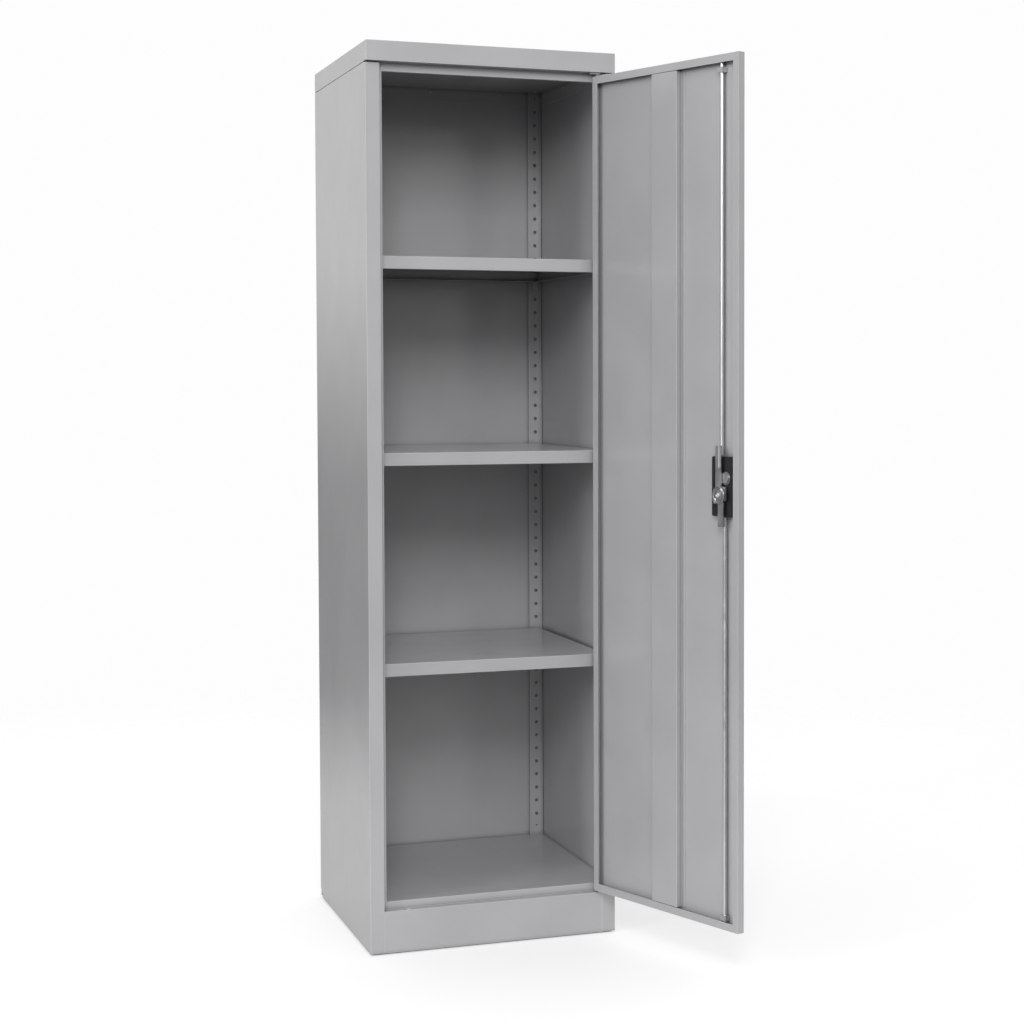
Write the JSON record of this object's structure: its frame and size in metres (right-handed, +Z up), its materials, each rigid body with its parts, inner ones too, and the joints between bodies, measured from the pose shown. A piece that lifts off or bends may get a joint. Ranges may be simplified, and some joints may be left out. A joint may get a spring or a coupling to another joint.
{
  "type": "locker cabinet",
  "caption": "Tall steel storage locker with an open hinged door, adjustable shelves, perforated uprights and a rod lock driven by a turning handle.",
  "frame": {"origin": "centre of the carcass footprint, on the floor", "axes": "+X to the cabinet's right seen from the front, +Y to the back, +Z up"},
  "size_m": [0.6323, 0.9328, 1.8],
  "materials": {
    "carcass_paint": "fine satin powder coat, light grey",
    "door_paint": "fine satin powder coat, light grey",
    "shelf_paint": "smooth satin powder coat, light grey",
    "zinc_plate": "zinc plated steel",
    "bright_rod": "bright drawn and plated rod",
    "die_cast_zinc": "dull die-cast zinc",
    "black_plastic": "fine-grained black nylon",
    "nylon": "natural nylon"
  },
  "bodies": {
    "carcass": {"left_side_panel": "carcass_paint", "right_side_panel": "carcass_paint", "back_panel": "carcass_paint", "top_cap": "carcass_paint", "ceiling_panel": "carcass_paint", "header_rail": "carcass_paint", "bottom_shelf": "carcass_paint", "plinth_front": "carcass_paint", "plinth_rear": "carcass_paint", "base_frame": "carcass_paint", "front_left_upright": "carcass_paint", "front_right_upright": "carcass_paint", "rear_left_upright": "carcass_paint", "rear_right_upright": "carcass_paint", "shelf_clips": "zinc_plate", "ceiling_rivets": "zinc_plate", "upper_hinge_bracket": "zinc_plate", "lower_hinge_bracket": "zinc_plate", "hinge_rivets": "zinc_plate", "lower_hinge_washer": "nylon"},
    "door": {"door_panel": "door_paint", "door_stiffener": "door_paint", "upper_hinge_arm": "zinc_plate", "lower_hinge_arm": "zinc_plate", "upper_hinge_pin": "zinc_plate", "lower_hinge_pin": "zinc_plate", "upper_hinge_spacer": "nylon", "lock_housing": "black_plastic", "lock_barrel": "die_cast_zinc", "handle_escutcheon": "black_plastic", "spindle_bush": "nylon", "upper_rod_guide": "zinc_plate", "lower_rod_guide": "zinc_plate"},
    "handle": {"turn_handle": "black_plastic", "handle_spindle": "zinc_plate", "rod_cam": "die_cast_zinc", "cam_pins": "bright_rod", "spindle_screw": "bright_rod"},
    "upper_lock_rod": {"upper_rod": "bright_rod", "upper_rod_link": "zinc_plate"},
    "lower_lock_rod": {"lower_rod": "bright_rod", "lower_rod_link": "zinc_plate"},
    "key_plug": {"lock_plug": "zinc_plate"},
    "upper_shelf_tray": {"top_shelf": "shelf_paint"},
    "middle_shelf_tray": {"middle_shelf": "shelf_paint"},
    "lower_shelf_tray": {"lower_shelf": "shelf_paint"}
  },
  "joints": [
    {"name": "door_swing", "type": "hinge", "parent": "carcass", "child": "door", "pos_m": [0.2222, -0.252, 0.09], "axis": [0, 0, 1], "range_deg": [-109, 3]},
    {"name": "handle_turn", "type": "hinge", "parent": "door", "child": "handle", "pos_m": [0.34962, -0.62821, 0.922], "axis": [0.9455, 0.3256, 0], "range_deg": [0, 90]},
    {"name": "upper_rod_slide", "type": "slide", "parent": "door", "child": "upper_lock_rod", "axis": [0, 0, 1], "range_m": [0, 0.01838]},
    {"name": "lower_rod_slide", "type": "slide", "parent": "door", "child": "lower_lock_rod", "axis": [0, 0, -1], "range_m": [0, 0.0185]},
    {"name": "key_turn", "type": "hinge", "parent": "door", "child": "key_plug", "pos_m": [0.35321, -0.63861, 0.954], "axis": [0.9455, 0.3256, 0], "range_deg": [0, 90]},
    {"name": "top_shelf_lift", "type": "slide", "parent": "carcass", "child": "upper_shelf_tray", "axis": [0, 0, 1], "range_m": [0, 0.02]},
    {"name": "middle_shelf_lift", "type": "slide", "parent": "carcass", "child": "middle_shelf_tray", "axis": [0, 0, 1], "range_m": [0, 0.02]},
    {"name": "lower_shelf_lift", "type": "slide", "parent": "carcass", "child": "lower_shelf_tray", "axis": [0, 0, 1], "range_m": [0, 0.02]}
  ],
  "couplings": [
    {"joint": "handle_turn", "follows": "upper_rod_slide", "rad_per_m": 85.44},
    {"joint": "lower_rod_slide", "follows": "upper_rod_slide", "ratio": 1}
  ]
}
